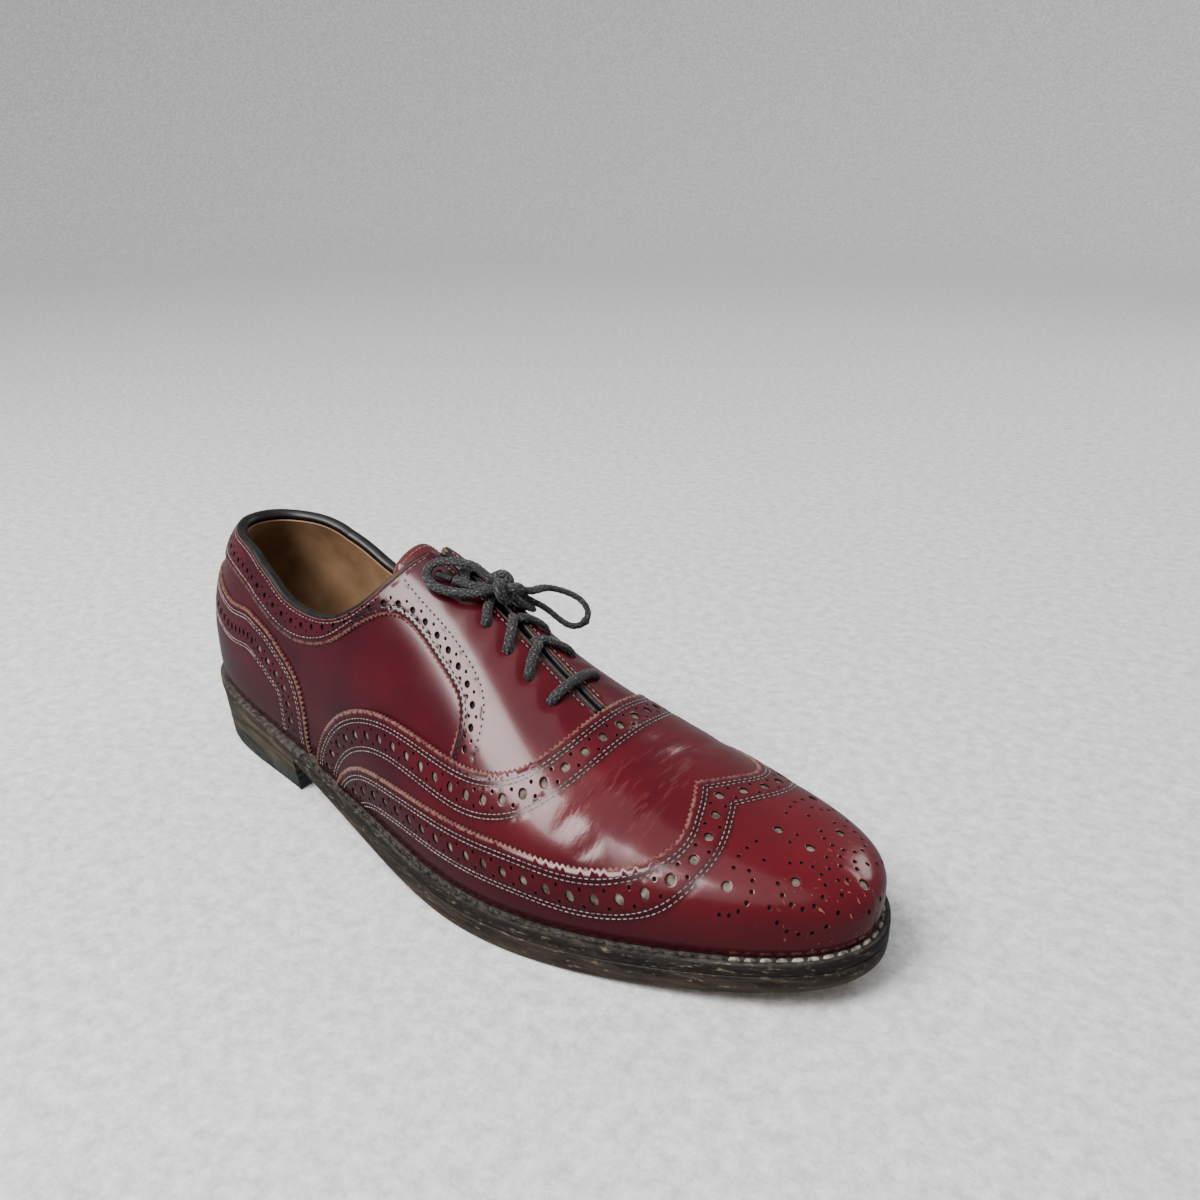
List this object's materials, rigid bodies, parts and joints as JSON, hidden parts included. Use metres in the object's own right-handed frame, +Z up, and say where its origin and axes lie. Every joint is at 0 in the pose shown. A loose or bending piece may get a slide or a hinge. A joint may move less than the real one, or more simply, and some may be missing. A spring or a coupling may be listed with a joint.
{
  "type": "wingtip oxford shoe",
  "caption": "Right wingtip oxford brogue shoe in burgundy leather with a closed throat, black laces, a welted leather sole that bends at the ball and a stacked heel.",
  "frame": {"origin": "centre of the shoe's plan box, laces left out, on the ground", "axes": "+X towards the toe, -Y the lateral (outer) side, +Y the medial side, +Z up"},
  "size_m": [0.3044, 0.1066, 0.106],
  "materials": {
    "upper_leather": "polished burgundy calf leather, glossy",
    "lining": "tan lining leather, matt",
    "lace": "black braided cotton lace",
    "binding": "black rolled leather binding",
    "board": "stiffener board",
    "sole_leather": "dark worn sole leather",
    "welt": "dark worn welt leather",
    "insole": "natural insole leather",
    "sock": "tan sock leather",
    "shank": "spring steel",
    "heel_leather": "stacked leather, dark and worn",
    "top_lift": "black rubber",
    "nail": "brass nail heads",
    "cork": "cork filler"
  },
  "bodies": {
    "rearfoot": {"outsole_rear": "sole_leather", "welt_lateral": "welt", "welt_medial": "welt", "heel_rand": "welt", "insole_rear": "insole", "heel_sock": "sock", "shank": "shank", "heel_lift_1": "heel_leather", "heel_lift_2": "heel_leather", "heel_lift_3": "heel_leather", "top_lift": "top_lift", "heel_nail_1": "nail", "heel_nail_2": "nail", "heel_nail_3": "nail", "heel_nail_4": "nail", "heel_nail_5": "nail", "quarter_lateral": "upper_leather", "quarter_medial": "upper_leather", "quarter_lining_lateral": "lining", "quarter_lining_medial": "lining", "facing_band_lateral": "upper_leather", "facing_band_medial": "upper_leather", "heel_counter_overlay": "upper_leather", "heel_stiffener": "board", "topline_binding": "binding", "vamp_rear": "upper_leather", "vamp_lining_rear": "lining", "wing_lateral": "upper_leather", "wing_medial": "upper_leather", "vamp_crease": "upper_leather", "vamp_lining_crease": "lining", "wing_crease_lateral": "upper_leather", "wing_crease_medial": "upper_leather", "lace_row_4": "lace", "lace_row_5": "lace", "lace_bar": "lace", "lace_knot": "lace", "lace_loop_lateral": "lace", "lace_loop_medial": "lace", "lace_end_lateral": "lace", "lace_end_medial": "lace", "aglet_lateral": "lace", "aglet_medial": "lace"},
    "forefoot": {"outsole_forepart": "sole_leather", "welt_forepart": "welt", "insole_forepart": "insole", "cork_filler": "cork", "vamp_forepart": "upper_leather", "vamp_lining_forepart": "lining", "wingtip_toe_cap": "upper_leather", "toe_puff": "board"},
    "tongue": {"tongue": "upper_leather"}
  },
  "joints": [
    {"name": "ball_flex", "type": "hinge", "parent": "rearfoot", "child": "forefoot", "pos_m": [0.05475, 0, 0.0136], "axis": [0, -1, 0], "range_deg": [0, 30], "stiffness_Nm_per_rad": 10, "deforming": ["vamp_crease", "vamp_lining_crease", "wing_crease_lateral", "wing_crease_medial"]},
    {"name": "tongue_push", "type": "hinge", "parent": "rearfoot", "child": "tongue", "pos_m": [0.044, 0, 0.055], "axis": [0, -1, 0], "range_deg": [0, 7], "stiffness_Nm_per_rad": 0.6}
  ]
}
